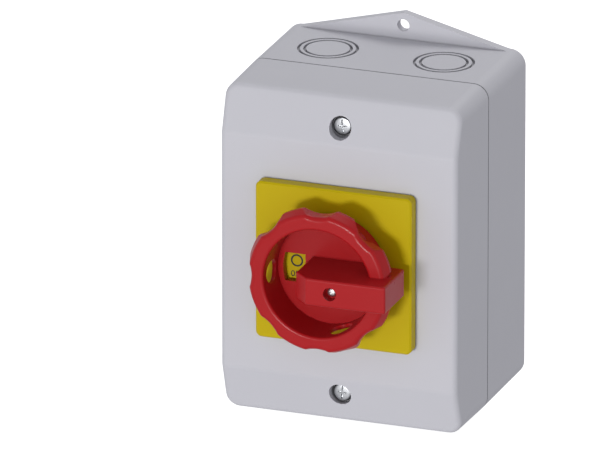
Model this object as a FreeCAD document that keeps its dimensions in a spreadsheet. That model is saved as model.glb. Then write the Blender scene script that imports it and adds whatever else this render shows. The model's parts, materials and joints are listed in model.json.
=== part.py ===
"""Rotary isolator switch in a moulded wall enclosure, as an assembly of separate sub-parts.

Everything is drawn on the bench: x to the right, y up, z the height above the wall. The
last step of each sub-part stands it upright, so that in the finished frame +X is to the
right, +Y goes into the wall and +Z is up, with the origin on the wall, on the handle's axis.
The handle is drawn in the OFF position, and ON is a quarter turn clockwise from it.
"""
import FreeCAD, Part
import math
import os
import re
import Sketcher
from FreeCAD import Placement, Rotation, Vector

DIMENSIONS = {
    # enclosure
    "box_width": 103.0,
    "box_height": 141.2,
    "box_corner": 6.5,
    "wall": 2.6,
    "floor": 3.0,
    "ear_boss": 5.0,
    "ear_pilot": 1.6,
    "pilot_floor": 1.2,
    "foot_boss": 3.5,
    "foot_boss_tall": 6.5,
    "foot_pilot": 1.25,
    "seam": 45.4,
    "seam_gap": 0.7,
    "tongue_tall": 2.5,
    "tongue_thick": 1.3,
    "gasket_thick": 1.4,
    "cover_front": 82.0,
    "cover_taper": 1.1,
    "cover_skin": 3.0,
    "cover_edge": 2.6,
    "slope_start": 50.4,
    "slope_end": 69.9,
    "slope_drop": 6.5,
    "crease_round": 6.0,
    "cover_lip": 1.1,
    "cover_wall": 3.5,
    "attic_half": 62.0,
    "attic_rise": 2.2,
    "hub_way": 15.0,
    "plate_way": 1.8,
    # wall lugs and knock-outs
    "lug_thick": 4.0,
    "lug_half": 47.0,
    "lug_root": 70.0,
    "lug_tip": 81.9,
    "lug_hole": 2.6,
    "lug_pitch": 153.0,
    "knockout_x": 25.0,
    "knockout_up": 25.0,
    "knockout_large": 12.05,
    "knockout_small": 9.55,
    "knockout_line": 1.2,
    "knockout_deep": 1.2,
    # cover screws
    "pillar_y": 57.4,
    "pillar_radius": 6.4,
    "well_radius": 4.75,
    "well_floor": 74.6,
    "cover_head": 3.6,
    "cover_head_tall": 2.5,
    "cover_shank": 2.0,
    "insert_radius": 2.9,
    "insert_low": 34.0,
    "insert_tall": 10.5,
    "pillar_top": 75.5,
    "seal_outer": 4.2,
    "seal_inner": 2.2,
    "seal_thick": 0.9,
    # escutcheon plate
    "plate_size": 67.0,
    "plate_top": 88.0,
    "plate_corner": 2.5,
    "plate_bevel": 0.7,
    "plate_skin": 2.8,
    "plate_rim": 3.0,
    "pad_thick": 0.6,
    "plate_screw_at": 24.0,
    "plate_shank": 1.5,
    "plate_head": 2.7,
    "plate_pilot_deep": 3.9,
    "plate_boss": 4.0,
    "bearing_boss": 17.0,
    # handle
    "hub_radius": 9.5,
    "hub_play": 0.06,
    "hub_low": 78.5,
    "groove_low": 81.3,
    "groove_high": 82.5,
    "groove_radius": 8.3,
    "clip_radius": 14.0,
    "clip_thick": 1.0,
    "clip_mouth": 12.0,
    "stem_left": 6.0,
    "stem_right": 13.4,
    "stem_half": 4.0,
    "stem_high": 103.0,
    "stem_play": 0.1,
    "seal_radius": 12.5,
    "ring_radius": 31.0,
    "ring_inner": 23.0,
    "ring_face": 29.0,
    "ring_land": 2.5,
    "ring_front": 108.0,
    "ring_back": 101.0,
    "skirt_radius": 23.9,
    "skirt_back": 89.2,
    "dish_radius": 22.2,
    "dish_front": 92.0,
    "dish_back": 89.5,
    "scallop_count": 8.0,
    "scallop_radius": 15.0,
    "scallop_round": 2.0,
    "front_round": 2.0,
    "back_round": 1.0,
    "inner_round": 1.2,
    "scallop_floor": 28.4,
    "bar_half": 5.75,
    "bar_front": 117.5,
    "bar_left": 7.5,
    "bar_right": 32.8,
    "bar_chamfer": 6.4,
    "nose_back": 94.0,
    "bar_edge": 0.9,
    "key_at": 9.1,
    "key_head": 1.95,
    "key_head_tall": 1.6,
    "key_shank": 1.5,
    "key_long": 22.4,
    "key_recess": 2.8,
    "key_seat": 113.7,
    "window_near": 10.4,
    "window_far": 20.0,
    "window_half": 6.1,
    "padlock_radius": 5.0,
    "padlock_up": 99.3,
    "padlock_start": 20.5,
    "padlock_relief": 1.3,
    # drive train
    "shaft_half": 3.0,
    "shaft_low": 58.0,
    "shaft_high": 87.3,
    "driver_half": 4.5,
    "driver_low": 76.5,
    "driver_pin": 1.0,
    "driver_pin_up": 80.0,
    "rotor_tube": 10.0,
    "rotor_bore": 6.3,
    "rotor_low": 39.0,
    "star_low": 55.0,
    "star_high": 60.0,
    "star_radius": 15.0,
    "detent_at": 15.6,
    "bump_radius": 2.0,
    "leaf_at": 17.35,
    "leaf_half": 0.25,
    "leaf_low": 55.5,
    "leaf_tall": 4.0,
    "leaf_reach": 14.0,
    "stop_disc": 12.0,
    "stop_high": 63.0,
    "rotor_hub": 8.0,
    "rotor_high": 70.0,
    "stroke": 4.0,
    "pin_radius": 1.5,
    "pin_up": 50.0,
    "lug_reach": 18.0,
    "lug_side": 2.0,
    "lug_bearing": 225.0,
    "slot_spare": 17.0,
    "slot_play": 0.35,
    "stop_spare": 13.0,
    "stop_radius": 16.9,
    # contact carrier
    "carrier_reach": 21.0,
    "carrier_half": 5.0,
    "carrier_high": 36.0,
    "carrier_stem": 54.0,
    "bridge_half": 4.0,
    "bridge_reach": 13.0,
    "bridge_room": 7.5,
    "pole_frame": 6.0,
    # switch block
    "block_half": 26.0,
    "block_low": 6.0,
    "base_half": 34.0,
    "base_high": 30.0,
    "housing_half": 22.0,
    "housing_high": 64.0,
    "cap_high": 67.0,
    "pole_pitch": 15.0,
    "pole_half": 6.3,
    "pole_floor": 16.0,
    "strip_thick": 1.5,
    "tip_thick": 1.2,
    "tip_radius": 2.0,
    "tip_at": 10.5,
    "contact_play": 0.1,
    "terminal_at": 28.0,
    "ear_at": 40.0,
    "block_screw_x": 23.7,
    "block_screw_y": 18.0,
    "block_head": 2.2,
    "block_shank": 1.5,
    "block_way": 1.7,
    "ear_half": 7.0,
    "ear_end": 5.5,
    "ear_thick": 3.0,
    "ear_way": 2.2,
    "rotor_room": 19.5,
    "rotor_room_low": 38.6,
    "arc_half": 19.0,
    "washer_thick": 0.7,
    "strip_near": 8.5,
    "strip_far": 32.0,
    "strip_half": 3.5,
    "cage_half": 5.0,
    "cage_side": 3.5,
    "cage_wall": 1.0,
    "cage_high": 27.0,
    "clamp_head": 3.1,
    "clamp_shank": 2.0,
    "slab_thick": 2.0,
    "tool_way": 3.6,
    # earth and neutral terminals
    "rail_terminal_x": 38.0,
    "rail_terminal_high": 22.0,
    "rail_half": 4.5,
    "rail_reach": 13.0,
    "rail_thick": 9.0,
    "rail_screw_y": 8.0,
    "rail_shank": 1.7,
    "wire_way": 2.2,
    "foot_side": 7.0,
    "foot_reach": 14.0,
}

UPRIGHT = Placement(Vector(0, 0, 0), Rotation(Vector(1, 0, 0), 90))
AXIS_TURN = {
    "x": Rotation(Vector(0, 1, 0), 90),
    "z": Rotation(),
}
PADLOCK_BEARINGS = (52, 180, 290)
POLES = ("-pole_pitch", "0", "pole_pitch")
BOTH = ("", "-")
# a feature that changes less than this, in cubic mm, has missed the body
LEAST_CHANGE = 0.1

doc = FreeCAD.newDocument("rotary_isolator")
dims = doc.addObject("Spreadsheet::Sheet", "dims")
for row, (alias, value) in enumerate(DIMENSIONS.items(), start=1):
    dims.set(f"A{row}", alias)
    dims.set(f"B{row}", str(value))
    dims.setAlias(f"B{row}", alias)
doc.recompute()

sub_parts = []


# ---------------------------------------------------------------- drawing helpers
def sheet(expression):
    """Point every dimension named in an expression at its cell in the sheet."""
    def cell(word):
        return "dims." + word.group() if word.group() in DIMENSIONS else word.group()
    return re.sub(r"[a-z][a-z0-9_]*", cell, str(expression))


def bind(thing, **sizes):
    for field, expression in sizes.items():
        thing.setExpression(field, sheet(expression))


def place(thing, at, axis="z"):
    thing.Placement = Placement(Vector(0, 0, 0), AXIS_TURN[axis])
    for letter, expression in zip("xyz", at):
        thing.setExpression("Placement.Base." + letter, sheet(expression))


def make(body, kind, role, name):
    """A primitive: inside a body it adds or cuts, and with no body it stands alone."""
    if body is None:
        return doc.addObject("Part::" + kind, name)
    return body.newObject("PartDesign::" + role + kind, name)


def block(body, name, low, high, role="Additive"):
    """A box between two opposite corners."""
    thing = make(body, "Box", role, name)
    bind(thing, Length=f"({high[0]}) - ({low[0]})", Width=f"({high[1]}) - ({low[1]})")
    bind(thing, Height=f"({high[2]}) - ({low[2]})")
    place(thing, low)
    return thing


def rod(body, name, at, radius, length, role="Additive", axis="z"):
    thing = make(body, "Cylinder", role, name)
    bind(thing, Radius=radius, Height=length)
    place(thing, at, axis)
    return thing


def cut_block(body, name, low, high):
    return block(body, name, low, high, "Subtractive")


def cut_rod(body, name, at, radius, length, axis="z"):
    return rod(body, name, at, radius, length, "Subtractive", axis)


def new_body(label):
    body = doc.addObject("PartDesign::Body", label)
    body.Label = label
    return body


def sketch_on(body, name, role, height="0"):
    """A sketch on one of the body's own origin planes, or parallel to it."""
    plane = next(item for item in body.Origin.OriginFeatures if item.Role == role)
    sketch = body.newObject("Sketcher::SketchObject", name)
    sketch.AttachmentSupport = (plane, [""])
    sketch.MapMode = "FlatFace"
    sketch.setExpression("AttachmentOffset.Base.z", sheet(height))
    return sketch


def value_of(expression):
    """The number that an expression of the sheet's cells comes to."""
    probe = doc.addObject("App::FeaturePython", "probe")
    probe.addProperty("App::PropertyFloat", "number")
    probe.setExpression("number", sheet(expression))
    doc.recompute([probe])
    number = probe.number
    doc.removeObject(probe.Name)
    return number


def pin_point(sketch, edge, end, at):
    """Tie one end of a sketch edge to a place given by two expressions."""
    for kind, expression in zip(("DistanceX", "DistanceY"), at):
        index = sketch.addConstraint(Sketcher.Constraint(kind, edge, end, value_of(expression)))
        sketch.setExpression(f"Constraints[{index}]", sheet(expression))


def polygon(sketch, corners):
    points = [Vector(value_of(x), value_of(y), 0) for x, y in corners]
    first = sketch.GeometryCount
    count = len(points)
    for index, point in enumerate(points):
        sketch.addGeometry(Part.LineSegment(point, points[(index + 1) % count]), False)
    for index in range(count):
        after = first + (index + 1) % count
        sketch.addConstraint(Sketcher.Constraint("Coincident", first + index, 2, after, 1))
    for index, corner in enumerate(corners):
        pin_point(sketch, first + index, 1, corner)


def circle(sketch, at, radius):
    centre = Vector(value_of(at[0]), value_of(at[1]), 0)
    edge = sketch.addGeometry(Part.Circle(centre, Vector(0, 0, 1), value_of(radius)), False)
    pin_point(sketch, edge, 3, at)
    index = sketch.addConstraint(Sketcher.Constraint("Radius", edge, value_of(radius)))
    sketch.setExpression(f"Constraints[{index}]", sheet(radius))


def rounded_rectangle(sketch, width, height, radius):
    """A rectangle about the origin with its four corners rounded."""
    half_x = value_of(width) / 2
    half_y = value_of(height) / 2
    bend = value_of(radius)
    first = sketch.GeometryCount
    straight = (
        ((-half_x + bend, -half_y), (half_x - bend, -half_y)),
        ((half_x, -half_y + bend), (half_x, half_y - bend)),
        ((half_x - bend, half_y), (-half_x + bend, half_y)),
        ((-half_x, half_y - bend), (-half_x, -half_y + bend)),
    )
    middles = (
        (half_x - bend, -half_y + bend),
        (half_x - bend, half_y - bend),
        (-half_x + bend, half_y - bend),
        (-half_x + bend, -half_y + bend),
    )
    for start, end in straight:
        sketch.addGeometry(Part.LineSegment(Vector(*start, 0), Vector(*end, 0)), False)
    for quarter, middle in enumerate(middles, start=-1):
        round_ = Part.Circle(Vector(*middle, 0), Vector(0, 0, 1), bend)
        start = quarter * math.pi / 2
        sketch.addGeometry(Part.ArcOfCircle(round_, start, start + math.pi / 2), False)
    for side in range(4):
        line = first + side
        arc = first + 4 + side
        following = first + (side + 1) % 4
        sketch.addConstraint(Sketcher.Constraint("Tangent", line, 2, arc, 1))
        sketch.addConstraint(Sketcher.Constraint("Tangent", arc, 2, following, 1))
        sketch.addConstraint(Sketcher.Constraint("Vertical" if side % 2 else "Horizontal", line))
    for side in range(1, 4):
        sketch.addConstraint(Sketcher.Constraint("Equal", first + 4, first + 4 + side))
    limits = (
        ("DistanceY", 0, f"-({height}) / 2"),
        ("DistanceX", 1, f"({width}) / 2"),
        ("DistanceY", 2, f"({height}) / 2"),
        ("DistanceX", 3, f"-({width}) / 2"),
    )
    for kind, side, expression in limits:
        constraint = Sketcher.Constraint(kind, first + side, 1, value_of(expression))
        index = sketch.addConstraint(constraint)
        sketch.setExpression(f"Constraints[{index}]", sheet(expression))
    index = sketch.addConstraint(Sketcher.Constraint("Radius", first + 4, bend))
    sketch.setExpression(f"Constraints[{index}]", sheet(radius))


def pad(body, name, sketch, length, middle=False, **sizes):
    """Raise a sketch's area to a length, or half of it each way, and check that it adds something."""
    doc.recompute()
    before = 0.0 if body.Shape.isNull() else body.Shape.Volume
    thing = body.newObject("PartDesign::Pad", name)
    thing.Profile = sketch
    bind(thing, Length=length, **sizes)
    thing.Midplane = middle
    doc.recompute()
    if thing.Shape.Volume < before + LEAST_CHANGE:
        raise ValueError(f"{name} adds nothing")
    return thing


def pocket(body, name, sketch, length, middle=False, away=False):
    """Cut a sketch's area: towards its back, both ways, or away to its front."""
    doc.recompute()
    before = body.Shape.Volume
    thing = body.newObject("PartDesign::Pocket", name)
    thing.Profile = sketch
    bind(thing, Length=length)
    thing.Midplane = middle
    thing.Reversed = away
    doc.recompute()
    if thing.Shape.Volume > before - LEAST_CHANGE:
        raise ValueError(f"{name} cuts nothing")
    return thing


def dress(body, kind, name, size, chosen):
    """Round or bevel the edges of the body so far for which chosen(edge) is true."""
    doc.recompute()
    tip = body.Tip
    edges = [f"Edge{number}" for number, edge in enumerate(tip.Shape.Edges, start=1) if chosen(edge)]
    if not edges:
        raise ValueError(f"{name} finds no edges")
    thing = body.newObject("PartDesign::" + kind, name)
    thing.Base = (tip, edges)
    bind(thing, **{"Radius" if kind == "Fillet" else "Size": size})
    doc.recompute()
    return thing


def along_depth(edge):
    """True for a straight edge that runs at right angles to the wall."""
    box = edge.BoundBox
    return box.ZLength > 0.5 and box.XLength < 1e-3 and box.YLength < 1e-3


def at_height(edge, height):
    box = edge.BoundBox
    return box.ZLength < 1e-3 and abs(box.ZMax - height) < 1e-3


def finish(thing, label):
    """Name a finished sub-part and stand it upright against the wall."""
    thing.Label = label
    thing.Placement = UPRIGHT
    sub_parts.append(thing)


def group(label, members):
    """Separate solids of one kind that share a node."""
    compound = doc.addObject("Part::Compound", label)
    compound.Links = members
    finish(compound, label)


def screw(name, at, head, head_tall, shank, length):
    """A screw whose head rests at the given place, with a cross slot and its shank to the wall."""
    x, y, seat = at
    top = rod(None, name + "_head", (x, y, seat), head, head_tall)
    stem = rod(None, name + "_stem", (x, y, f"({seat}) - ({length})"), shank, length)
    body = doc.addObject("Part::MultiFuse", name + "_blank")
    body.Shapes = [top, stem]
    slot_low = f"({seat}) + ({head_tall}) * 0.55"
    slot_high = f"({seat}) + ({head_tall}) + 1"
    arms = []
    for arm, (reach_x, reach_y) in enumerate(((0.74, 0.14), (0.14, 0.74))):
        low = (f"({x}) - ({head}) * {reach_x}", f"({y}) - ({head}) * {reach_y}", slot_low)
        high = (f"({x}) + ({head}) * {reach_x}", f"({y}) + ({head}) * {reach_y}", slot_high)
        arms.append(block(None, f"{name}_slot_{arm}", low, high))
    cross = doc.addObject("Part::MultiFuse", name + "_cross")
    cross.Shapes = arms
    finished = doc.addObject("Part::Cut", name)
    finished.Base = body
    finished.Tool = cross
    return finished


def tube(name, at, outer, inner, length, axis="z"):
    skin = rod(None, name + "_outer", at, outer, length, axis=axis)
    hole = rod(None, name + "_inner", at, inner, length, axis=axis)
    ring = doc.addObject("Part::Cut", name)
    ring.Base = skin
    ring.Tool = hole
    return ring


def helix_solid(profile, pitch, height, radius, left_handed):
    """A wire or slot of the given profile, swept along a helix about the handle's axis."""
    path = Part.makeHelix(pitch, height, radius, 0, left_handed)
    return Part.Wire(path.Edges).makePipeShell([profile], True, True)


# ---------------------------------------------------------------- enclosure
def rear_box():
    """The moulded back half, with its wall lugs, pillars, knock-outs and sealing tongue."""
    body = new_body("rear_box")
    rim = "seam - seam_gap / 2"
    outline = sketch_on(body, "box_outline", "XY_Plane")
    rounded_rectangle(outline, "box_width", "box_height", "box_corner")
    pad(body, "box_block", outline, rim + " + tongue_tall")
    rebate = sketch_on(body, "tongue_outline", "XY_Plane", rim)
    rounded_rectangle(rebate, "box_width + 2", "box_height + 2", "box_corner + 1")
    inset = "2 * (wall - tongue_thick)"
    rounded_rectangle(rebate, f"box_width - {inset}", f"box_height - {inset}", "box_corner - 1")
    pocket(body, "tongue_rebate", rebate, "tongue_tall + 1", away=True)
    lug = sketch_on(body, "lug_outline", "XY_Plane")
    corners = [("lug_half", "-lug_root"), ("lug_half", "lug_root"), ("0", "lug_tip")]
    corners += [("-lug_half", "lug_root"), ("-lug_half", "-lug_root"), ("0", "-lug_tip")]
    polygon(lug, corners)
    pad(body, "lug_plate", lug, "lug_thick")
    cavity = sketch_on(body, "cavity_outline", "XY_Plane", "floor")
    rounded_rectangle(cavity, "box_width - 2 * wall", "box_height - 2 * wall", "box_corner - wall")
    pocket(body, "cavity", cavity, "seam + 10", away=True)
    for side in BOTH:
        tag = "low" if side else "high"
        lug_hole_y = f"{side}lug_pitch / 2"
        cut_rod(body, f"lug_hole_{tag}", ("0", lug_hole_y, "-1"), "lug_hole", "lug_thick + 2")
        pillar = ("0", f"{side}pillar_y", "floor - 0.5")
        rod(body, f"pillar_{tag}", pillar, "pillar_radius", f"{rim} - floor + 0.3")
        seat = ("0", f"{side}pillar_y", "insert_low")
        cut_rod(body, f"insert_seat_{tag}", seat, "insert_radius", "20")
        boss = ("0", f"{side}ear_at", "floor - 0.5")
        rod(body, f"block_boss_{tag}", boss, "ear_boss", "block_low - floor + 0.5")
        pilot = ("0", f"{side}ear_at", "pilot_floor")
        cut_rod(body, f"block_pilot_{tag}", pilot, "ear_pilot", "10")
        foot = (f"{side}rail_terminal_x", "0", "floor - 0.5")
        rod(body, f"foot_boss_{tag}", foot, "foot_boss", "foot_boss_tall")
        cut_rod(body, f"foot_pilot_{tag}", (foot[0], "0", "pilot_floor"), "foot_pilot", "10")
    for side in BOTH:
        # the sketch's own normal points down, so the lower face is in front of the plane
        face = f"-({side}box_height / 2)"
        tag = "low" if side else "high"
        rings = sketch_on(body, f"knockout_rings_{tag}", "XZ_Plane", face)
        for along in ("knockout_x", "-knockout_x"):
            for radius in ("knockout_large", "knockout_small"):
                circle(rings, (along, "knockout_up"), f"{radius} + knockout_line / 2")
                circle(rings, (along, "knockout_up"), f"{radius} - knockout_line / 2")
        pocket(body, f"knockouts_{tag}", rings, "knockout_deep", away=not side)
    finish(body, "rear_box")


def cover_slope(sketch, start, end, drop, top, reach):
    """The two triangles above a roof that falls away towards its ends."""
    for side in BOTH:
        fall = f"({drop}) * ({reach} - ({start})) / (({end}) - ({start}))"
        corners = [(f"{side}({start})", top), (f"{side}({reach})", f"({top}) - {fall}")]
        corners.append((f"{side}({reach})", f"({top}) + 3"))
        corners.append((f"{side}({start})", f"({top}) + 3"))
        polygon(sketch, corners)


def front_cover():
    """The moulded lid: drafted sides, a flat front and a slope to each end."""
    body = new_body("front_cover")
    rim = "seam + seam_gap / 2"
    outline = sketch_on(body, "cover_outline", "XY_Plane", rim)
    rounded_rectangle(outline, "box_width", "box_height", "box_corner")
    pad(body, "cover_block", outline, f"cover_front - ({rim})", TaperAngle="-cover_taper")
    slope = sketch_on(body, "slope_outline", "YZ_Plane")
    cover_slope(slope, "slope_start", "slope_end", "slope_drop", "cover_front", "80")
    pocket(body, "end_slopes", slope, "box_width * 2", middle=True)
    top = value_of("cover_front")
    start = value_of("slope_start")
    reach = value_of("box_width") / 2

    def is_crease(edge):
        box = edge.BoundBox
        level = at_height(edge, top) and box.YLength < 1e-3
        return level and abs(abs(box.YMax) - start) < 1e-3

    def is_front_edge(edge):
        box = edge.BoundBox
        high = box.ZMin > value_of("cover_front - slope_drop - 1.5")
        side = abs(abs(box.Center.x) - reach) < 4
        end = abs(abs(box.Center.y) - value_of("slope_end")) < 4
        return high and (side or end)

    dress(body, "Fillet", "crease_rounds", "crease_round", is_crease)
    dress(body, "Fillet", "front_rounds", "cover_edge", is_front_edge)
    rebate = sketch_on(body, "rebate_outline", "XY_Plane", "0")
    lip = "2 * cover_lip"
    rounded_rectangle(rebate, f"box_width - {lip}", f"box_height - {lip}", "box_corner - 1")
    rebate_top = "seam - seam_gap / 2 + tongue_tall + gasket_thick"
    pocket(body, "gasket_rebate", rebate, rebate_top, away=True)
    room = sketch_on(body, "room_outline", "XY_Plane", "0")
    walls = "2 * cover_wall"
    rounded_rectangle(room, f"box_width - {walls}", f"box_height - {walls}", "box_corner - 2")
    pocket(body, "room", room, "cover_front - slope_drop - cover_skin", away=True)
    attic = sketch_on(body, "attic_outline", "YZ_Plane")
    roof = "cover_front - cover_skin"
    low = "cover_front - slope_drop - cover_skin - 1"
    polygon(attic, [
        ("-attic_half", low),
        ("attic_half", low),
        ("attic_half", f"{low} + attic_rise"),
        ("slope_start - 0.5", roof),
        ("-slope_start + 0.5", roof),
        ("-attic_half", f"{low} + attic_rise"),
    ])
    pocket(body, "attic", attic, f"box_width - {walls} - 2", middle=True)
    for side in BOTH:
        tag = "low" if side else "high"
        pillar_y = f"{side}pillar_y"
        rod(body, f"well_pillar_{tag}", ("0", pillar_y, rim), "pillar_radius", f"pillar_top - ({rim})")
        cut_rod(body, f"screw_way_{tag}", ("0", pillar_y, "40"), "cover_shank + 0.3", "40")
        cut_rod(body, f"screw_well_{tag}", ("0", pillar_y, "well_floor"), "well_radius", "10")
        for across in BOTH:
            at = (f"{across}plate_screw_at", f"{side}plate_screw_at", "70")
            cut_rod(body, f"plate_screw_way_{tag}{across and '_left'}", at, "plate_way", "20")
    cut_rod(body, "hub_way", ("0", "0", "70"), "hub_way", "20")
    finish(body, "front_cover")


def cover_gasket():
    """The soft cord between the box's tongue and the bottom of the cover's rebate."""
    body = new_body("cover_gasket")
    ring = sketch_on(body, "gasket_ring", "XY_Plane", "seam - seam_gap / 2 + tongue_tall")
    rounded_rectangle(ring, "box_width - 2.4", "box_height - 2.4", "box_corner - 1.1")
    rounded_rectangle(ring, "box_width - 2 * wall", "box_height - 2 * wall", "box_corner - wall")
    pad(body, "gasket_band", ring, "gasket_thick")
    finish(body, "cover_gasket")


def cover_fixings():
    """Cover screws, the sealing rings under their heads and the inserts that they reach."""
    screws = []
    seals = []
    inserts = []
    for tag, side in zip(("high", "low"), BOTH):
        centre = ("0", f"{side}pillar_y")
        at = (*centre, "well_floor")
        seals.append(tube(f"cover_seal_{tag}", at, "seal_outer", "seal_inner", "seal_thick"))
        at = (*centre, "well_floor + seal_thick")
        screws.append(screw(f"cover_screw_{tag}", at, "cover_head", "cover_head_tall - seal_thick",
                            "cover_shank", "well_floor + seal_thick - insert_low - 2"))
        at = (*centre, "insert_low")
        inserts.append(tube(f"insert_{tag}", at, "insert_radius", "cover_shank", "insert_tall"))
    group("cover_screws", screws)
    group("cover_screw_seals", seals)
    group("cover_screw_inserts", inserts)


# ---------------------------------------------------------------- escutcheon
def escutcheon_plate():
    """The square plate that the handle turns in, hollow behind, with its four screw bosses."""
    body = new_body("escutcheon_plate")
    back = "cover_front + pad_thick"
    outline = sketch_on(body, "plate_outline", "XY_Plane", back)
    rounded_rectangle(outline, "plate_size", "plate_size", "plate_corner")
    pad(body, "plate_block", outline, f"plate_top - ({back})")
    front = value_of("plate_top")
    dress(body, "Chamfer", "plate_bevels", "plate_bevel", lambda edge: at_height(edge, front))
    hollow = "plate_size / 2 - plate_rim"
    cut_block(body, "hollow", (f"-({hollow})", f"-({hollow})", "cover_front - 1"),
              (hollow, hollow, "plate_top - plate_skin"))
    rod(body, "bearing_boss", ("0", "0", back), "bearing_boss", f"plate_top - 1 - ({back})")
    for side in BOTH:
        for across in BOTH:
            tag = ("low" if side else "high") + ("_left" if across else "_right")
            at = (f"{across}plate_screw_at", f"{side}plate_screw_at", back)
            rod(body, f"screw_boss_{tag}", at, "plate_boss", f"plate_top - 1 - ({back})")
            cut_rod(body, f"screw_pilot_{tag}", at, "plate_shank", "plate_pilot_deep")
    cut_rod(body, "seal_seat", ("0", "0", "80"), "seal_radius", "plate_top - plate_skin - 80")
    cut_rod(body, "bearing_bore", ("0", "0", "80"), "hub_radius + hub_play", "10")
    finish(body, "escutcheon_plate")


def escutcheon_fixings():
    """The flat seal behind the plate, its four screws and the lip seal round the hub."""
    body = new_body("escutcheon_gasket")
    outline = sketch_on(body, "pad_outline", "XY_Plane", "cover_front")
    rounded_rectangle(outline, "plate_size - 1", "plate_size - 1", "plate_corner - 0.5")
    circle(outline, ("0", "0"), "hub_way")
    for side in BOTH:
        for across in BOTH:
            circle(outline, (f"{across}plate_screw_at", f"{side}plate_screw_at"), "plate_way")
    pad(body, "pad_sheet", outline, "pad_thick")
    finish(body, "escutcheon_gasket")
    screws = []
    for side in BOTH:
        for across in BOTH:
            name = "plate_screw_" + ("low" if side else "high") + ("_left" if across else "_right")
            length = "cover_skin + pad_thick + 3.6"
            seat = "cover_front - cover_skin"
            at = (f"{across}plate_screw_at", f"{side}plate_screw_at", f"-({seat})")
            turned = screw(name, at, "plate_head", "2", "plate_shank", length)
            turned.Placement = Placement(Vector(0, 0, 0), Rotation(Vector(0, 1, 0), 180))
            screws.append(turned)
    group("escutcheon_screws", screws)
    seal_low = "cover_front + pad_thick + 0.1"
    seal = tube("shaft_seal_ring", ("0", "0", seal_low), "seal_radius - 0.05",
                "hub_radius + hub_play", f"plate_top - plate_skin - 0.05 - ({seal_low})")
    finish(seal, "shaft_seal")


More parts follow.
